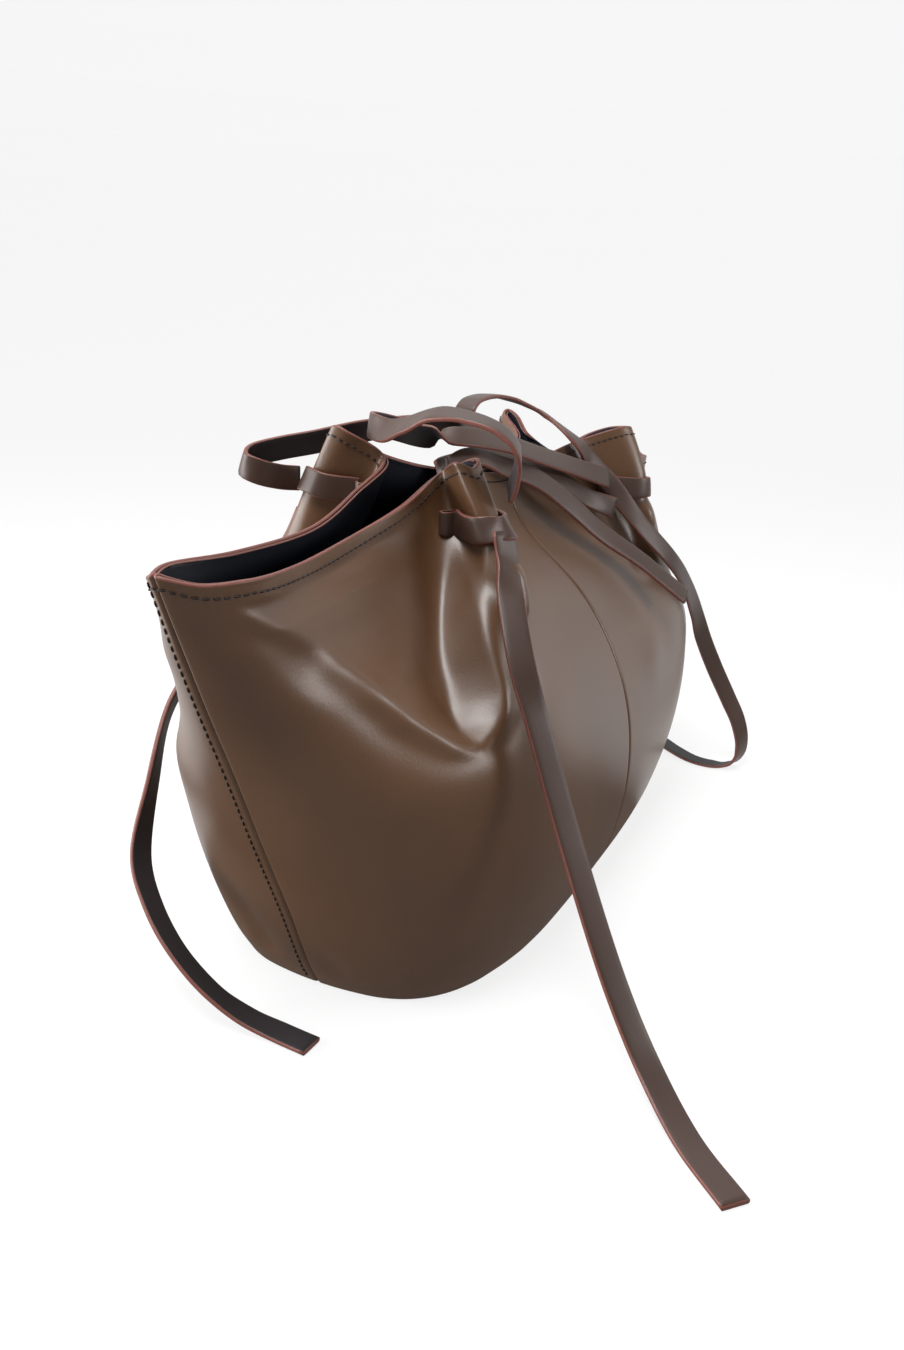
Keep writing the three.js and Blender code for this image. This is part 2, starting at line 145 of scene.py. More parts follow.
U = spaced([0, 0.06, 0.14, 1, 3, 6, 10, 11, 11.86, 11.94, 12], [3, 2, 8, 26, 48, 60, 14, 12, 2, 3])
V = spaced([0, 0.1, 3.5, 5, 7.5, 7.9, 8], [2, 34, 38, 56, 10, 5])


def smooth(G, n, keep=3):
    """Relax the inside of a grid; its borders stay."""
    G = G.copy()
    for _ in range(n):
        P = np.concatenate([G[1:2] * [1, -1, 1], G, G[-2:-1] * [-1, 1, 1]], 0)
        avg_u = 0.5 * (P[2:] + P[:-2])
        H = G.copy()
        H[:, 1:-1] = 0.5 * G[:, 1:-1] + 0.25 * (0.5 * (G[:, 2:] + G[:, :-2])) + 0.25 * avg_u[:, 1:-1]
        H[0] = G[0]
        H[-1] = G[-1]
        H[:, -keep:] = G[:, -keep:]
        H[:, :1] = G[:, :1]
        G = H
    return G


def near(G, line):
    """Distance in mm from each grid point to a line of surface points (u, v), how far along, and which side."""
    uv = np.array(line, float)
    pts = np.array([surface([u], [v])[0, 0] for u, v in line])
    UU = U[:, None] + 0 * V[None]
    VV = V[None] + 0 * U[:, None]
    best = np.full(G.shape[:2], 1e9)
    along = np.zeros(G.shape[:2])
    sign = np.zeros(G.shape[:2])
    total = np.linalg.norm(np.diff(pts, axis=0), axis=1).sum()
    run = 0.0
    for k, (a, b) in enumerate(zip(pts, pts[1:])):
        ab = b - a
        t = np.clip(((G - a) @ ab) / (ab @ ab), 0, 1)
        d = np.linalg.norm(G - (a + t[..., None] * ab), axis=-1)
        L = np.linalg.norm(ab)
        e = uv[k + 1] - uv[k]
        sg = np.sign(e[0] * (VV - uv[k][1]) - e[1] * (UU - uv[k][0]))
        hit = d < best
        along = np.where(hit, (run + t * L) / total, along)
        sign = np.where(hit, sg, sign)
        best = np.minimum(best, d)
        run += L
    return best, along, sign, total


def bell(d, w):
    return np.exp(-((d / w) ** 2))


# how each fin and rim leans away from the shared shape, as in the CAD: column, row, reaches, shift
LEAN = {
    "front_left": [
        (8.2, 8, 1.0, 1.3, -2, -1, -7),
        (6.6, 8, 0.8, 1.5, 3, 0, -2),
        (3.5, 7.6, 2.2, 1.6, 0, 1.5, -2),
    ],
    "front_right": [(8.3, 8, 1.3, 1.5, 4, 7, -1)],
    "back_left": [(7.6, 8, 1.6, 2.0, -2, 0, 7)],
    "back_right": [(8, 8, 1.5, 1.5, 0, 0, 5)],
}
WRAP_ROW = {"front_left": 7.0, "front_right": 6.75, "back_left": 7.2, "back_right": 7.0}

# folds: (line of (u, v), half-width on the side-seam side, half-width on the centre-seam side, height,
# fade in at the foot, fade out at the head), the last five in mm
FOLDS = {
    "front_left": [
        ([(8.7, 5.2), (8.5, 5.9), (8.3, 6.6)], 6, 6, 4.5, 9, 10),
        ([(9.9, 5.0), (9.9, 5.8), (9.7, 6.5)], 4, 7, -4.5, 8, 12),
        ([(0.9, 0.7), (0.7, 1.5)], 7, 7, -1.0, 10, 10),
    ],
    "front_right": [
        ([(10.2, 4.6), (9.6, 5.6), (9.4, 6.5)], 8, 12, -4.5, 20, 15),
        ([(9.0, 5.4), (8.8, 6.5)], 6, 6, 3.5, 12, 10),
        ([(6.0, 5.2), (6.0, 6.4)], 9, 7, -5, 14, 15),
        ([(11.2, 3.0), (10.6, 4.4)], 16, 16, 1.5, 30, 30),
    ],
    "back_left": [
        ([(5.4, 4.6), (5.8, 5.8), (6.1, 6.6)], 14, 8, -8, 14, 18),
        ([(0.8, 1.0), (1.5, 1.5), (2.2, 2.3)], 8, 8, -2.2, 12, 16),
        ([(1.6, 0.9), (2.4, 1.3)], 6, 6, 1.4, 9, 9),
        ([(1.2, 6.2), (2.6, 5.4)], 9, 9, -2.5, 16, 16),
    ],
    "back_right": [
        ([(5.6, 4.8), (6.0, 5.8), (6.2, 6.6)], 12, 8, -7, 16, 18),
        ([(9.8, 5.0), (9.6, 6.0)], 8, 8, -4, 14, 14),
    ],
}


# the deep hollow beside the front-left fin: u of its near ridge, its floor and its far ridge at each row v,
# with the floor's depth and the ridges' rise in mm
HOLLOW_V = [4.16, 4.25, 4.42, 4.65, 4.98, 5.5, 6.28, 7.02, 7.58]
NEAR_U = [5.75, 5.28, 4.82, 4.25, 3.75, 3.22, 2.68, 2.1, 1.4]
FLOOR_U = [5.78, 5.7, 5.6, 5.6, 5.6, 5.56, 5.55, 5.4, 5.3]
FAR_U = [5.8, 6.2, 6.8, 6.95, 6.88, 6.72, 6.05, 5.7, 5.6]
DEPTH = [0, 1.0, 6.0, 9.5, 10.5, 9.0, 5.0, 1.5, 0]
RISE = [1.0, 3.0, 4.4, 5.0, 5.0, 4.6, 3.6, 2.0, 0.4]


def hollow(G):
    """Press the deep hollow into a panel, between its two ridges."""
    N = normals(G)
    H = G.copy()
    for j, v in enumerate(V):
        if v < HOLLOW_V[0] or v > HOLLOW_V[-1]:
            continue
        un, uf, ur = (np.interp(v, HOLLOW_V, q) for q in (NEAR_U, FLOOR_U, FAR_U))
        d, r = np.interp(v, HOLLOW_V, DEPTH), np.interp(v, HOLLOW_V, RISE)
        col, nrm = G[:, j], N[:, j]
        at = lambda q, arr: np.array([np.interp(q, U, arr[:, c]) for c in range(3)])
        A, B, C = at(un, col) + at(un, nrm) * r, at(uf, col) - at(uf, nrm) * d, at(ur, col) + at(ur, nrm) * r
        w = np.clip((7.5 - v) / 0.9, 0, 1)
        for i, u in enumerate(U):
            if un <= u <= uf:
                t = (u - un) / max(1e-6, uf - un)
                goal = A + (B - A) * t - nrm[i] * 1.0 * math.sin(math.pi * t)
            elif uf < u <= ur:
                goal = B + (C - B) * (u - uf) / max(1e-6, ur - uf)
            else:
                e = np.linalg.norm(col[i] - at(un if u < un else ur, col))
                goal = col[i] + nrm[i] * r * math.exp(-((e / 9) ** 2))
            H[i, j] = col[i] * (1 - w) + goal * w
    return H


def panel_grid(side):
    G = smooth(surface(U, V), 4)
    for u, v, ru, rv, dx, dy, dz in LEAN[side]:
        w = bell(np.abs(U - u), ru)[:, None] * bell(np.abs(V - v), rv)[None]
        t = np.clip((V - 6.4) / 0.8, 0, 1)
        w = w * np.clip(U, 0, 1)[:, None] * np.clip(12 - U, 0, 1)[:, None] * (t * t * (3 - 2 * t))[None]
        G = G + w[..., None] * np.array([dx, dy, dz], float)
    if side == "front_left":
        G = smooth(hollow(G), 3)
        at_floor = np.abs(U[:, None] - np.interp(V, HOLLOW_V, FLOOR_U)[None])
        m = (bell(at_floor, 0.45) * np.clip((V - 4.5) / 0.4, 0, 1)[None])[..., None]
        G = G * (1 - m) + smooth(G, 60) * m
    N = normals(G)
    D = np.zeros(G.shape[:2])
    for line, wa, wb, h, foot, head in FOLDS[side]:
        d, s, sign, total = near(G, line)
        w = np.where(sign > 0, wa, wb)
        a, b = s * total, (1 - s) * total
        D += h * bell(d, w) * (1 - np.exp(-(a / foot) ** 2 * 2) * (foot > 0)) * (1 - np.exp(-(b / head) ** 2 * 2))
    fade = np.clip((7.9 - V) / 0.9, 0, 1) * np.clip(V / 0.8, 0, 1)
    fu = np.clip(U / 0.6, 0, 1) * np.clip((12 - U) / 0.4, 0, 1)
    G = G + N * (D * fade[None] * fu[:, None])[..., None]
    return smooth(G, 2)


# ------------------------------------------------------------------ mesh helpers
def mesh_object(name, verts, faces, mats, index=None, smooth_shade=True):
    me = bpy.data.meshes.new(name)
    me.from_pydata([tuple(v) for v in np.asarray(verts) * MM], [], [tuple(map(int, f)) for f in faces])
    for m in mats:
        me.materials.append(m)
    if index is not None:
        me.polygons.foreach_set("material_index", np.asarray(index, np.int32))
    if smooth_shade:
        me.polygons.foreach_set("use_smooth", np.ones(len(me.polygons), bool))
    me.update()
    ob = bpy.data.objects.new(name, me)
    scene.collection.objects.link(ob)
    return ob


def grid_faces(nu, nv, base=0, flip=False):
    i, j = np.meshgrid(np.arange(nu - 1), np.arange(nv - 1), indexing="ij")
    a = base + i * nv + j
    q = np.stack([a, a + nv, a + nv + 1, a + 1], -1).reshape(-1, 4)
    return q[:, ::-1] if flip else q


def shell(P, sx, sy, name, mats, edge_rows=()):
    """A closed skin from a grid whose rows go up the outside, over the rim and down the inside."""
    P = P.copy()
    P[..., 0] = np.maximum(P[..., 0], 0.12) * sx
    P[..., 1] = np.maximum(P[..., 1], 0.12) * sy
    nu, nv = P.shape[:2]
    flip = sx * sy < 0
    f = [grid_faces(nu, nv, 0, flip)]
    mi = [np.tile(np.isin(np.arange(nv - 1), list(edge_rows)).astype(int), nu - 1)]
    i = np.arange(nu - 1)
    bottom = np.stack([i * nv + nv - 1, (i + 1) * nv + nv - 1, (i + 1) * nv, i * nv], -1)
    f.append(bottom[:, ::-1] if flip else bottom)
    mi.append(np.zeros(nu - 1, int))
    j = np.arange(nv // 2 - 1) if nv % 2 == 0 else np.arange(nv // 2)
    for e, rev in ((0, False), ((nu - 1) * nv, True)):
        k = nv - 1 - j
        side = np.stack([e + j, e + j + 1, e + k - 1, e + k], -1)
        if nv % 2 == 1 and len(side):
            tri = side[-1]
            side = side[:-1]
            t3 = [tri[0], tri[1], tri[3]]
            t3 = t3[::-1] if (rev != flip) else t3
            f.append(np.array([t3]))
            mi.append(np.zeros(1, int))
        side = side[:, ::-1] if (rev != flip) else side
        f.append(side)
        mi.append(np.zeros(len(side), int))
    faces = [tuple(q) for block in f for q in block]
    return mesh_object(name, P.reshape(-1, 3), faces, mats, np.concatenate(mi))


def skin_profile(G, outer, thick, rows):
    """Rows up the outside at offset `outer`, round the top edge, and down the inside, `thick` further in."""
    N = normals(G)
    T = np.gradient(G, axis=1)
    T /= np.maximum(1e-9, np.linalg.norm(T, axis=-1, keepdims=True))
    up = G[:, rows] + N[:, rows] * outer
    k = rows[-1]
    mid, r = outer - thick / 2, thick / 2
    cap = [G[:, k] + N[:, k] * (mid + math.cos(a) * r) + T[:, k] * (math.sin(a) * r * 0.9)
           for a in np.linspace(0, math.pi, 8)[1:-1]]
    down = G[:, rows[::-1]] + N[:, rows[::-1]] * (outer - thick)
    return np.concatenate([up, np.stack(cap, 1), down], 1), len(rows)


# ------------------------------------------------------------------ materials
def material(name):
    m = bpy.data.materials.new(name)
    m.use_nodes = True
    nt = m.node_tree
    b = nt.nodes["Principled BSDF"]
    return m, nt, b


def srgb(r, g, b):
    f = lambda c: (c / 255 / 12.92) if c / 255 <= 0.04045 else ((c / 255 + 0.055) / 1.055) ** 2.4
    return (f(r), f(g), f(b), 1)


GRAIN, SPECULAR, COAT_ROUGH = 900.0, 0.55, 0.3


def leather(name, dark, light, rough, bump=0.00005, coat=0.0):
    """Smooth leather: slow colour drift, a fine grain in colour and relief, and a clear coat."""
    m, nt, b = material(name)
    L = nt.links.new
    co = nt.nodes.new("ShaderNodeTexCoord")
    vor = nt.nodes.new("ShaderNodeTexVoronoi")
    vor.inputs["Scale"].default_value = GRAIN
    noise = nt.nodes.new("ShaderNodeTexNoise")
    noise.inputs["Scale"].default_value = 2400
    noise.inputs["Detail"].default_value = 3
    big = nt.nodes.new("ShaderNodeTexNoise")
    big.inputs["Scale"].default_value = 9
    big.inputs["Detail"].default_value = 3
    for n in (vor, noise, big):
        L(co.outputs["Object"], n.inputs["Vector"])
    ramp = nt.nodes.new("ShaderNodeValToRGB")
    ramp.color_ramp.elements[0].position, ramp.color_ramp.elements[0].color = 0.32, dark
    ramp.color_ramp.elements[1].position, ramp.color_ramp.elements[1].color = 0.68, light
    L(big.outputs["Fac"], ramp.inputs["Fac"])
    fine = nt.nodes.new("ShaderNodeMix")
    fine.data_type, fine.blend_type = "RGBA", "MULTIPLY"
    fine.inputs["Factor"].default_value = 0.35
    L(ramp.outputs["Color"], fine.inputs["A"])
    g = nt.nodes.new("ShaderNodeValToRGB")
    g.color_ramp.elements[0].color = (0.62, 0.6, 0.58, 1)
    g.color_ramp.elements[0].position = 0.3
    g.color_ramp.elements[1].position = 0.7
    L(noise.outputs["Fac"], g.inputs["Fac"])
    L(g.outputs["Color"], fine.inputs["B"])
    L(fine.outputs["Result"], b.inputs["Base Color"])
    rr = nt.nodes.new("ShaderNodeMapRange")
    rr.inputs["To Min"].default_value, rr.inputs["To Max"].default_value = rough - 0.05, rough + 0.06
    L(big.outputs["Fac"], rr.inputs["Value"])
    L(rr.outputs["Result"], b.inputs["Roughness"])
    add = nt.nodes.new("ShaderNodeMath")
    add.operation = "MULTIPLY_ADD"
    add.inputs[1].default_value = 0.5
    L(noise.outputs["Fac"], add.inputs[0])
    L(vor.outputs["Distance"], add.inputs[2])
    bp = nt.nodes.new("ShaderNodeBump")
    bp.inputs["Strength"].default_value = 0.5
    bp.inputs["Distance"].default_value = bump
    L(add.outputs["Value"], bp.inputs["Height"])
    L(bp.outputs["Normal"], b.inputs["Normal"])
    b.inputs["Specular IOR Level"].default_value = SPECULAR
    b.inputs["Coat Weight"].default_value = coat
    b.inputs["Coat Roughness"].default_value = COAT_ROUGH
    return m


def plain(name, colour, rough, bump=0.0, scale=600.0):
    m, nt, b = material(name)
    L = nt.links.new
    co = nt.nodes.new("ShaderNodeTexCoord")
    n = nt.nodes.new("ShaderNodeTexNoise")
    n.inputs["Scale"].default_value = scale
    n.inputs["Detail"].default_value = 4
    L(co.outputs["Object"], n.inputs["Vector"])
    r = nt.nodes.new("ShaderNodeValToRGB")
    r.color_ramp.elements[0].color = tuple(c * 0.75 for c in colour[:3]) + (1,)
    r.color_ramp.elements[1].color = tuple(min(1, c * 1.2) for c in colour[:3]) + (1,)
    L(n.outputs["Fac"], r.inputs["Fac"])
    L(r.outputs["Color"], b.inputs["Base Color"])
    b.inputs["Roughness"].default_value = rough
    if bump:
        bp = nt.nodes.new("ShaderNodeBump")
        bp.inputs["Distance"].default_value = bump
        L(n.outputs["Fac"], bp.inputs["Height"])
        L(bp.outputs["Normal"], b.inputs["Normal"])
    return m


BODY = leather("leather_body", srgb(84, 57, 36), srgb(98, 67, 42), 0.40, coat=0.22)
FACING = leather("leather_facing", srgb(24, 28, 40), srgb(30, 33, 46), 0.5)
EDGE = plain("painted_edge", srgb(116, 68, 58), 0.45, 0.00008, 500)
STRAP = leather("strap_leather", srgb(62, 43, 35), srgb(72, 51, 42), 0.44, bump=0.00004)
BACKS = leather("strap_back", srgb(34, 30, 33), srgb(42, 37, 39), 0.6)
THREAD = plain("thread", srgb(30, 21, 20), 0.6)
LINING = plain("lining_cloth", srgb(16, 24, 40), 0.85, 0.0001, 1500)
BOARD = plain("board", srgb(140, 124, 104), 0.9, 0.0001, 300)

# ------------------------------------------------------------------ body
# offsets from the outer surface and heights are in mm, rows are v
SKIN = 1.8
GROOVE, GROOVE_WIDE = -0.9, 0.9
FACING_AT, FACING_THICK, FACING_FROM = -2.3, 1.0, 6.44
LINING_AT, LINING_TO, LINING_FOOT, LINING_FROM, LINING_TOP = -2.4, -3.0, 5.1, 0.44, 6.42
WELD = 2e-5  # metres
QUARTERS = [("front_left", -1, -1), ("front_right", 1, -1), ("back_left", -1, 1), ("back_right", 1, 1)]
grids = {}
lining_v, lining_f = [], []
for side, sx, sy in QUARTERS:
    G = panel_grid(side)
    grids[side] = G
    N = normals(G)
    # the two edges of a seam turn in and meet in a groove
    at_side = bell(np.abs(G[..., 1]), GROOVE_WIDE) * (U < 0.5)[:, None]
    at_centre = bell(np.abs(G[..., 0]), GROOVE_WIDE) * (U > 11.5)[:, None]
    groove = GROOVE * (at_side + at_centre)
    Gs = G + N * groove[..., None]
    P, k = skin_profile(Gs, 0, SKIN, np.arange(len(V)))
    P[:, 0, 2] = 0
    P[:, -1, 2] = 0
    ob = shell(P, sx, sy, "body_panel_" + side, [BODY, EDGE], range(k - 1, k + 6))
    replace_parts(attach(ob, "bag"), "panel_" + side)
    rows = np.where(V >= FACING_FROM)[0]
    P, k = skin_profile(G, FACING_AT, FACING_THICK, rows)
    ob = shell(P, sx, sy, "rim_facing_" + side, [FACING, EDGE], range(k - 1, k + 6))
    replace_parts(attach(ob, "bag"), "facing_" + side)
    # lining, a quarter at a time
    rows = np.where((V >= LINING_FROM) & (V <= LINING_TOP))[0][::2]
    cols = np.unique(np.r_[np.arange(0, len(U), 2), len(U) - 1])
    A = (G + N * LINING_AT)[cols][:, rows]
    B = (G + N * LINING_TO)[cols][:, rows]
    A[:, 0, 2] = B[:, 0, 2] = LINING_FOOT
    P = np.concatenate([A, B[:, ::-1]], 1)
    P[..., 0] = np.maximum(P[..., 0], 0) * sx
    P[..., 1] = np.maximum(P[..., 1], 0) * sy
    nu, nv = P.shape[:2]
    flip = sx * sy < 0
    base = sum(len(v) for v in lining_v)
    q = grid_faces(nu, nv, base, flip)
    i = np.arange(nu - 1)
    bot = base + np.stack([i * nv + nv - 1, (i + 1) * nv + nv - 1, (i + 1) * nv, i * nv], -1)
    lining_v.append(P.reshape(-1, 3))
    lining_f += [tuple(x) for x in q] + [tuple(x) for x in (bot[:, ::-1] if flip else bot)]
lin = mesh_object("lining_sleeve", np.concatenate(lining_v), lining_f, [LINING])
bm = bmesh.new()
bm.from_mesh(lin.data)
bmesh.ops.remove_doubles(bm, verts=bm.verts, dist=WELD)
bm.to_mesh(lin.data)
bm.free()
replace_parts(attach(lin, "bag"), "lining_wall")


def plate(name, inset, z0, z1, mat, node, round_edge=0.5):
    """A flat plate in the shape of the base, inset from the outer surface, from height z0 to z1."""
    us = np.linspace(0, 12, 80)
    g = surface(us, [0.0, 0.05])
    n = normals(g)[:, 0] * [1, 1, 0]
    n /= np.linalg.norm(n, axis=-1, keepdims=True)
    q = g[:, 0] - n * inset
    ring = np.concatenate([q, (q * [-1, 1, 1])[::-1][1:], (q * [-1, -1, 1])[1:], (q * [1, -1, 1])[::-1][1:-1]])
    m = len(ring)
    r = round_edge
    rings = []
    for dz, sh in ((z0, r), (z0 + r * 0.3, r * 0.3), (z0 + r, 0), (z1 - r, 0), (z1 - r * 0.3, r * 0.3), (z1, r)):
        s = 1 - sh / 100
        rings.append(np.c_[ring[:, :2] * s, np.full(m, dz)])
    v = np.concatenate(rings)
    f = []
    for k in range(len(rings) - 1):
        for i in range(m):
            j = (i + 1) % m
            f.append((k * m + i, k * m + j, (k + 1) * m + j, (k + 1) * m + i))
    f.append(tuple(range(m))[::-1])
    f.append(tuple(range((len(rings) - 1) * m, len(rings) * m)))
    ob = mesh_object(name, v, f, [mat], smooth_shade=False)
    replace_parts(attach(ob, "bag"), node)


plate("base_leather", 2.2, 0, 2, BODY, "base_panel")
plate("base_stiffener", 3.4, 2.3, 3.8, BOARD, "base_board")
plate("floor_lining", 2.6, 4.1, 4.8, LINING, "lining_floor", 0.2)

# ------------------------------------------------------------------ stitches
def stitches(name, pts, nrm, pitch=3.7, long=2.7, wide=0.8):
    """A row of small raised threads along a polyline of points with surface normals."""
    seg = np.r_[0, np.cumsum(np.linalg.norm(np.diff(pts, axis=0), axis=1))]
    n = int(seg[-1] / pitch)
    V_, F_ = [], []
    for k in range(n):
        s = (k + 0.5) * seg[-1] / n
        at = lambda q: np.array([np.interp(q, seg, pts[:, c]) for c in range(3)])
        a, b = at(s - long / 2), at(s + long / 2)
        c = at(s)
        nn = np.array([np.interp(s, seg, nrm[:, c2]) for c2 in range(3)])
        nn /= np.linalg.norm(nn)
        t = (b - a) / np.linalg.norm(b - a)
        w = np.cross(nn, t)
        base = len(V_)
        h = wide * 0.45
        for e, sc, lift in ((-1, 0.5, -0.2), (-0.8, 1, 0.6), (0, 1.05, 1), (0.8, 1, 0.6), (1, 0.5, -0.2)):
            p = c + t * (e * long / 2)
            for ang in range(6):
                x = math.cos(ang * math.pi / 3) * wide / 2 * sc
                y = math.sin(ang * math.pi / 3) * wide / 2 * sc
                V_.append(p + w * x + nn * (y + h * lift - 0.1))
        for r in range(4):
            for ang in range(6):
                j = (ang + 1) % 6
                F_.append((base + r * 6 + ang, base + r * 6 + j, base + (r + 1) * 6 + j, base + (r + 1) * 6 + ang))
        F_.append(tuple(base + k2 for k2 in range(5, -1, -1)))
        F_.append(tuple(base + 24 + k2 for k2 in range(6)))
    ob = mesh_object(name, V_, F_, [THREAD])
    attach(ob, "bag")


RIM_STITCH, SEAM_STITCH = 4.5, 4.2  # mm below the rim, and beside the side seam
for side, sx, sy in QUARTERS:
    G = grids[side]
    N = normals(G)
    S = np.array([sx, sy, 1.0])
    line, nn = [], []
    for i in range(len(U)):
        back = G[i, ::-1]
        seg = np.r_[0, np.cumsum(np.linalg.norm(np.diff(back, axis=0), axis=1))]
        line.append([np.interp(RIM_STITCH, seg, back[:, c]) for c in range(3)])
        nn.append([np.interp(RIM_STITCH, seg, N[i, ::-1, c]) for c in range(3)])
    stitches("stitch_rim_" + side, np.array(line) * S, np.array(nn) * S)
    if sx * sy < 0:
        # topstitch beside the side seam
        d = G[:, :, 1]
        line, nn = [], []
        for j in range(4, len(V) - 3):
            line.append([np.interp(SEAM_STITCH, d[:12, j], G[:12, j, c]) for c in range(3)])
            nn.append([np.interp(SEAM_STITCH, d[:12, j], N[:12, j, c]) for c in range(3)])
        stitches("stitch_side_" + side, np.array(line) * S, np.array(nn) * S)

# ------------------------------------------------------------------ straps
WIDE, THICK = 12.0, 2.2


def spline(ctrl, step=2.5):
    P, Nn = ctrl[:, :3], ctrl[:, 3:]
    Nn = Nn / np.linalg.norm(Nn, axis=1, keepdims=True)
    E = np.vstack([2 * P[0] - P[1], P, 2 * P[-1] - P[-2]])
    t = np.linspace(0, len(P) - 1, 60 * len(P))
    i = np.clip(np.floor(t).astype(int), 0, len(P) - 2)
    s = (t - i)[:, None]
    c = span(E[i], E[i + 1], E[i + 2], E[i + 3], s)
    w = s * s * (3 - 2 * s)
    n = Nn[i] * (1 - w) + Nn[i + 1] * w
    L = np.r_[0, np.cumsum(np.linalg.norm(np.diff(c, axis=0), axis=1))]
    k = int(round(L[-1] / step)) + 1
    q = np.linspace(0, L[-1], k)
    c = np.stack([np.interp(q, L, c[:, a]) for a in range(3)], 1)
    n = np.stack([np.interp(q, L, n[:, a]) for a in range(3)], 1)
    tan = np.gradient(c, axis=0)
    tan /= np.linalg.norm(tan, axis=1, keepdims=True)
    n -= tan * (n * tan).sum(1, keepdims=True)
    n /= np.linalg.norm(n, axis=1, keepdims=True)
    return c, tan, n, L[-1]


def band(name, c, tan, n, thick=THICK, wide=WIDE):
    """A flat strap along centres c with outward faces n: painted edges, a finished face and a dark back."""
    w = np.cross(tan, n)
    a, b, r = wide / 2, thick / 2, thick * 0.36
    prof = []
    for cx, cy, a0 in ((a - r, b - r, 0), (-(a - r), b - r, 90), (-(a - r), -(b - r), 180), (a - r, -(b - r), 270)):
        for k in range(4):
            ang = math.radians(a0 + k * 30)
            prof.append((cx + r * math.cos(ang), cy + r * math.sin(ang)))
    # extra points across the faces for a slight crown
    top = [(x, b + 0.12 * (1 - (x / a) ** 2)) for x in np.linspace(a - r, -(a - r), 7)[1:-1]]
    bot = [(x, -b) for x in np.linspace(-(a - r), a - r, 7)[1:-1]]
    prof = prof[:4] + top + prof[4:8] + prof[8:12] + bot + prof[12:]
    m = len(prof)
    px, py = np.array(prof).T
    P = c[:, None] + w[:, None] * px[None, :, None] + n[:, None] * py[None, :, None]
    k = len(c)
    f, mi = [], []
    for q in range(m):
        q2 = (q + 1) % m
        x0, y0, x1, y1 = px[q], py[q], px[q2], py[q2]
        side = abs(x0) > a - r * 0.75 and abs(x1) > a - r * 0.75
        mat = 1 if side else (0 if y0 + y1 > 0 else 2)
        for i in range(k - 1):
            f.append((i * m + q, (i + 1) * m + q, (i + 1) * m + q2, i * m + q2))
            mi.append(mat)
    f.append(tuple(range(m)))
    f.append(tuple(range((k - 1) * m, k * m))[::-1])
    mi += [1, 1]
    return mesh_object(name, P.reshape(-1, 3), f, [STRAP, EDGE, BACKS], mi)


TUCK = {"tail_front_left": [[-108.6, -54.9, 208, -0.4, -0.9, 0.1]]}  # the length hidden under the turn


def strap(name, node, body, ctrl):
    c, tan, n, length = spline(np.array(TUCK.get(node, []) + ctrl, float))
    ob = band(name, c, tan, n)
    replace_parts(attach(ob, body), node)


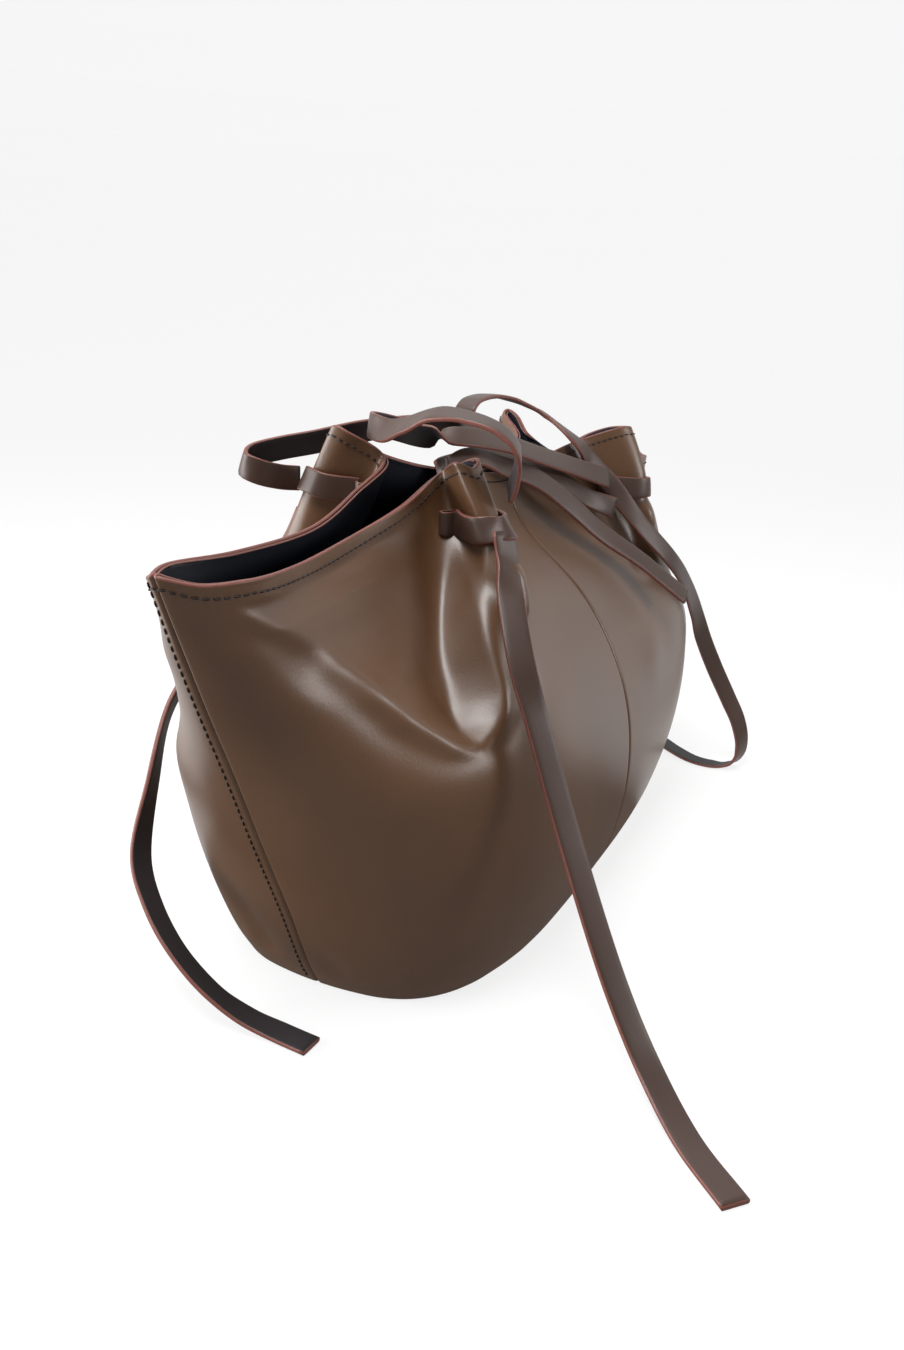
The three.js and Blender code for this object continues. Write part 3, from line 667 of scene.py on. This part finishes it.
# each strap: points in mm along its middle, each with the direction its finished face looks
ROUTES = {
    "handle_front": [
        [-94, -51, 223, 0.42, -0.9, 0.1], [-100, -56, 231, 0.42, -0.9, 0.15], [-107, -59, 243, 0.25, -0.95, 0.3],
        [-110, -52, 251, 0, -0.75, 0.65], [-112, -38, 255.5, -0.2, -0.3, 0.9], [-112, -22, 256, -0.4, 0.05, 0.88],
        [-107, -6, 250.5, -0.55, 0.35, 0.75], [-98, 10, 246, -0.6, 0.6, 0.5], [-88, 24.5, 247, -0.55, 0.8, 0.15],
        [-75, 30, 246.5, 0.3, 0.95, 0.05], [-64, 24, 244, 0.95, 0.3, 0.05], [-60, 11, 241, 0.9, -0.45, 0.1],
        [-48, -3, 241, 0.1, -0.8, 0.6], [-20, -13, 237, -0.25, -0.75, 0.65], [15, -22, 228, -0.3, -0.75, 0.6],
        [50, -31, 219, -0.35, -0.75, 0.55], [77, -42, 211, -0.45, -0.8, 0.4],
    ],
    "handle_back": [
        [-97, 60, 220, -0.6, -0.3, 0.1], [-108, 63, 221.5, -0.5, -0.75, 0.12], [-120, 68, 225, -0.95, -0.3, 0.1],
        [-121, 75, 228, -0.9, 0.4, 0.1], [-110, 77, 231, 0.2, 0.95, 0.2], [-98, 69, 234, 0.5, 0.85, 0.2],
        [-85, 57, 237, 0.6, 0.78, 0.2], [-70, 45, 241, 0.5, 0.82, 0.3], [-52, 36, 243, 0.3, 0.85, 0.4],
        [-25, 29.5, 243, 0.15, 0.9, 0.4], [5, 27.5, 240, 0, 0.9, 0.4], [35, 30, 234, -0.2, 0.9, 0.35],
        [62, 37, 226, -0.4, 0.85, 0.3], [83, 52, 217, -0.7, 0.7, 0.1],
    ],
    "tail_front_left": [
        [-112, -59, 196, -0.5, -0.85, 0.1], [-125, -67, 182, -0.8, -0.6, 0.2], [-139, -79, 160, -0.75, -0.62, 0.2],
        [-144, -89.5, 137, -0.5, -0.8, 0.25], [-151, -110, 90, -0.45, -0.75, 0.45], [-162.5, -137.5, 37, -0.4, -0.6, 0.65],
        [-173.5, -156.5, 13, -0.3, -0.4, 0.9], [-193.5, -178.5, 1.6, -0.05, -0.1, 1], [-215.5, -201.5, 1.3, 0, 0, 1],
    ],
    "tail_back_left": [
        [-97, 56.5, 206, 0.1, 0.97, 0.2], [-98.5, 63.5, 192, 0, 0.95, 0.3], [-105, 69.5, 178, -0.15, 0.92, 0.35],
        [-117, 75, 164, -0.3, 0.88, 0.35], [-134, 80, 150, -0.35, 0.87, 0.35], [-152, 84, 134, -0.35, 0.87, 0.3],
        [-171, 84, 118, -0.3, 0.9, 0.3], [-192, 77, 92, -0.1, 0.9, 0.3], [-207, 73, 60, 0.1, 0.95, 0],
        [-214, 61, 43, -0.2, 0.7, -0.6], [-219, 44, 28, -0.3, 0.5, -0.8], [-220, 24, 14, -0.25, 0.3, -0.9],
        [-217.5, 8, 5.5, -0.1, 0.2, -0.95], [-215.5, -8, 1.8, 0, 0.05, -1], [-216, -24, 1.3, 0, 0, -1],
    ],
    "tail_front_right": [
        [75, -48, 194, -0.6, -0.75, 0.1], [60, -35.5, 201, -0.35, -0.8, 0.4], [38, -26, 213, -0.3, -0.75, 0.55],
        [8, -14, 223, -0.3, -0.75, 0.6], [-18, -6, 228, -0.2, -0.75, 0.6], [-38, 4, 225.5, 0.1, -0.85, 0.35],
        [-50, 5, 224.5, -0.6, -0.6, 0.2], [-54, -1, 225.5, -0.9, -0.5, 0.3], [-44, -8, 231, 0.1, -0.66, 0.76],
        [-15, -14, 224, -0.2, -0.8, 0.5], [8, -24, 216, -0.3, -0.8, 0.45], [30, -37, 200, -0.35, -0.8, 0.4],
        [45, -51, 184, -0.35, -0.75, 0.5], [63, -71, 167, -0.3, -0.7, 0.6], [80, -95, 145, -0.3, -0.65, 0.65],
    ],
    "tail_back_right": [
        [97, 58.5, 204, -0.2, 0.9, -0.4], [84, 57, 207, -0.1, 0.6, -0.8], [70, 47, 209, 0, 0.1, -1],
        [57, 36, 212, -0.1, 0.1, -0.98], [41, 24.5, 221, -0.4, 0.1, -0.9], [24, 18.5, 234, -0.7, 0, -0.7],
        [5, 17, 244, -0.85, 0, -0.5], [-3, 16, 250, -0.98, 0, 0.1], [3, 16, 254.5, -0.6, 0, 0.8],
        [14, 16, 256.5, -0.15, 0, 1], [29, 15, 257, 0, 0, 1], [48, 12, 255, 0.2, -0.1, 0.95],
        [60, 4, 250.5, 0.3, -0.35, 0.85], [68, -5, 244.5, 0.2, -0.6, 0.7], [67, -24, 232, 0, -0.75, 0.6],
        [76, -32, 219, -0.5, -0.75, 0.4], [84, -43, 205, -0.75, -0.6, 0.2], [91, -62, 182, -0.45, -0.8, 0.35],
        [104, -77, 163, -0.3, -0.85, 0.3], [122, -83, 147, -0.25, -0.9, 0.25], [150, -87, 120, -0.35, -0.9, 0.05],
        [163, -91, 99, -0.55, -0.8, -0.1], [175, -99, 75, -0.6, -0.75, -0.1], [182, -109.7, 52, -0.6, -0.75, -0.05],
        [185, -118, 35, -0.55, -0.8, -0.1], [187, -122, 18, -0.45, -0.85, -0.25], [186, -120.5, 7.5, -0.35, -0.7, -0.65],
        [183, -114, 2.2, -0.15, -0.3, -0.95], [180, -103, 1.3, 0, 0, -1], [182, -90, 1.3, 0, 0, -1],
        [193, -74, 1.3, 0, 0, -1], [206, -60, 1.3, 0, 0, -1],
    ],
}
for k in ("front", "back"):
    strap("strap_handle_" + k, "handle_" + k, k + "_handle", ROUTES["handle_" + k])
for k in ("front_left", "front_right", "back_left", "back_right"):
    strap("strap_tail_" + k, "tail_" + k, "bag", ROUTES["tail_" + k])


def on_grid(side, us, v):
    """Points and normals of a finished panel at stations us along row v."""
    G = grids[side]
    N = normals(G)
    j = np.interp(v, V, np.arange(len(V)))
    j0 = min(int(j), len(V) - 2)
    f = j - j0
    g, n = G[:, j0] * (1 - f) + G[:, j0 + 1] * f, N[:, j0] * (1 - f) + N[:, j0 + 1] * f
    pick = lambda arr: np.stack([np.interp(us, U, arr[:, c]) for c in range(3)], 1)
    n = pick(n)
    return pick(g), n / np.linalg.norm(n, axis=1, keepdims=True)


def follow(us, g, n, out, S):
    c = (g + n * np.reshape(out, (-1, 1))) * S
    n = n * S
    tan = np.gradient(c, axis=0)
    tan /= np.linalg.norm(tan, axis=1, keepdims=True)
    n = n - tan * (n * tan).sum(1, keepdims=True)
    return c, tan, n / np.linalg.norm(n, axis=1, keepdims=True)


def hitch(side, sx, sy):
    """The turn of strap round the fin, raised where a fold of strap passes under it."""
    us = np.linspace(6.25, 10, 100)
    g, n = on_grid(side, us, WRAP_ROW[side])
    for _ in range(12):
        n[1:-1] = (n[2:] + n[:-2] + n[1:-1]) / 3
    n /= np.linalg.norm(n, axis=1, keepdims=True)
    out = 1.9 + 1.3 * bell(us - 6.75, 0.55)
    if side == "front_left":
        out = out + 2.3 * bell(us - 8.2, 0.55)
    c, tan, n = follow(us, g, n, out, np.array([sx, sy, 1.0]))
    c[:, 2] += 1.2 * np.sin((us - 6.25) / 3.75 * math.pi) - 0.6
    ob = band("strap_hitch_" + side, c, tan, n)
    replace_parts(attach(ob, "bag"), "wrap_" + side)


def tongue(side, sx, sy, out):
    """The fold of strap that stands out from under that turn, on the side-seam side of the fin."""
    us = np.array([7.3, 7.0, 6.7, 6.4, 6.2, 6.0])
    g, n = on_grid(side, us, WRAP_ROW[side] - 0.04)
    away = n[3] * np.array([1, 1, 0.3])
    away /= np.linalg.norm(away)
    along = g[5] - g[3]
    along -= along @ away * away
    along /= np.linalg.norm(along)
    half, foot = 2.0, g[4]
    loop = [(-half, 2.4), (-half, 0.6 * out), (-half, out - half), (-0.7 * half, out - 0.3 * half), (0, out),
            (0.7 * half, out - 0.3 * half), (half, out - half), (half, 0.6 * out), (half, 1.2)]
    pts = np.array([g[0] + n[0] * 0.9, g[1] + n[1] * 0.9] + [foot + along * p + away * q for p, q in loop])
    rows = np.c_[pts, np.cross(np.gradient(pts, axis=0), [0, 0, -1.0])]
    rows[:, 3:] /= np.linalg.norm(rows[:, 3:], axis=1, keepdims=True)
    if (rows[0, 3:] * n[0]).sum() < 0:
        rows[:, 3:] *= -1
    c, tan, n, _ = spline(rows, 0.5)
    S = np.array([sx, sy, 1.0])
    ob = band("strap_fold_" + side, c * S, tan * S, n * S, FOLD_THICK, FOLD_WIDE)
    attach(ob, "bag")


FOLD_THICK, FOLD_WIDE = 1.3, 10.5
FOLD_OUT = {"front_left": 9, "front_right": 6, "back_left": 8, "back_right": 6}
for side, sx, sy in QUARTERS:
    hitch(side, sx, sy)
    tongue(side, sx, sy, FOLD_OUT[side])

# ------------------------------------------------------------------ stage and light
def floor_material():
    m, _, b = material("floor_pale")
    b.inputs["Base Color"].default_value = (0.2, 0.2, 0.2, 1)
    b.inputs["Roughness"].default_value = 1.0
    b.inputs["Specular IOR Level"].default_value = 0.0
    b.inputs["Emission Color"].default_value = (1, 1, 1, 1)
    b.inputs["Emission Strength"].default_value = 0.80
    return m


FLOOR_R, BEND_R, WALL_TOP, FLOOR_DROP = 2.2, 1.2, 5.0, 0.0004  # metres
FLOOR_LINE = [(0.0, 0.0), (FLOOR_R, 0.0)]
WALL_LINE = [(FLOOR_R + BEND_R * math.sin(a), BEND_R - BEND_R * math.cos(a))
             for a in np.linspace(0.1, math.pi / 2, 12)]
WALL_LINE.append((FLOOR_R + BEND_R, WALL_TOP))


def sweep(name, a0, a1, prof, mat):
    """A sector of pale floor or wall round the bag, swept from its section."""
    ang = np.linspace(a0, a1, 49)
    m = len(prof)
    v = [(r * math.cos(a), r * math.sin(a), z - FLOOR_DROP) for a in ang for r, z in prof]
    f = []
    for i in range(len(ang) - 1):
        for j in range(m - 1):
            q = (i * m + j, (i + 1) * m + j, (i + 1) * m + j + 1, i * m + j + 1)
            f.append(q[1:] if prof[j][0] == 0 else q)
    me = bpy.data.meshes.new(name)
    me.from_pydata(v, [], f)
    me.materials.append(mat)
    ob = bpy.data.objects.new(name, me)
    scene.collection.objects.link(ob)
    return ob


FAR_FROM, FAR_TO = -0.75, 2.45  # radians round the bag, as seen past it from the camera
NEAR_TO = 2 * math.pi + FAR_FROM
pale = floor_material()
sweep("floor_back", FAR_FROM, FAR_TO, FLOOR_LINE + WALL_LINE, pale)
near_floor = sweep("floor_near", FAR_TO, NEAR_TO, FLOOR_LINE, pale)
near_floor.visible_glossy = False
near_wall = sweep("wall_near", FAR_TO, NEAR_TO, FLOOR_LINE[1:] + WALL_LINE, pale)
near_wall.visible_glossy = near_wall.visible_diffuse = near_wall.visible_shadow = False

world = bpy.data.worlds.new("studio")
world.use_nodes = True
world.node_tree.nodes["Background"].inputs[0].default_value = (1, 1, 1, 1)
world.node_tree.nodes["Background"].inputs[1].default_value = 0.15
scene.world = world
scene.view_settings.view_transform = "Standard"


def area(name, loc, target, size, power):
    l = bpy.data.lights.new(name, "AREA")
    l.shape = "RECTANGLE"
    l.size = l.size_y = size
    l.energy = power
    o = bpy.data.objects.new(name, l)
    o.location = loc
    o.rotation_euler = (Vector(target) - Vector(loc)).to_track_quat("-Z", "Y").to_euler()
    scene.collection.objects.link(o)


area("key", (-0.6, 0.0, 1.3), (-0.1, 0, 0.15), 0.5, 14)
area("side", (0.25, -1.0, 0.5), (-0.1, 0, 0.15), 0.32, 3.6)
area("top", (0.3, 0.2, 1.5), (0, 0, 0.1), 0.9, 6)
area("back_left", (-0.75, 0.95, 0.35), (-0.1, 0, 0.1), 0.8, 16)
